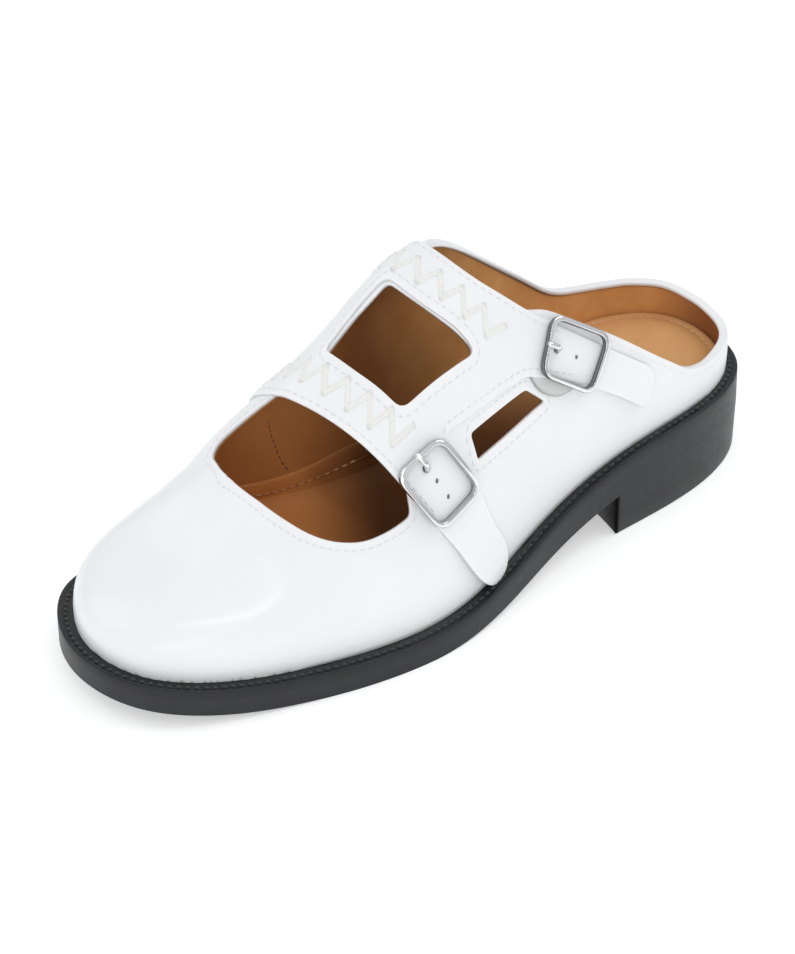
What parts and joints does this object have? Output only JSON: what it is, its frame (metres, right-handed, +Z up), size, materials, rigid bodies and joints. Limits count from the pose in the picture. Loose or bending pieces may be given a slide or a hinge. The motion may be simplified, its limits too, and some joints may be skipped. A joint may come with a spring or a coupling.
{
  "type": "loafer",
  "caption": "White leather loafer for the left foot, with a low open back, a cut-out window, buckled straps, a black welted sole and a block heel.",
  "frame": {"origin": "on the floor under the middle of the shoe's bounding box", "axes": "+Z up, toe towards -Y, heel towards +Y, lateral (buckle) side towards +X"},
  "size_m": [0.1005, 0.266, 0.1093],
  "materials": {
    "white_leather": "smooth semi-gloss, cool white",
    "strap_leather": "smooth semi-gloss, cool white",
    "black_sole": "smooth black edge",
    "black_welt": "black, wheeled and stitched",
    "tan_leather": "matt tan lining leather",
    "black_heel": "smooth satin black",
    "polished_steel": "polished"
  },
  "bodies": {
    "root": {"upper": "white_leather", "strap_panel": "strap_leather", "outsole": "black_sole", "welt": "black_welt", "insole": "tan_leather", "heel": "black_heel", "buckle_frame_front": "polished_steel", "buckle_prong_front": "polished_steel", "buckle_frame_rear": "polished_steel", "buckle_prong_rear": "polished_steel"}
  },
  "joints": []
}
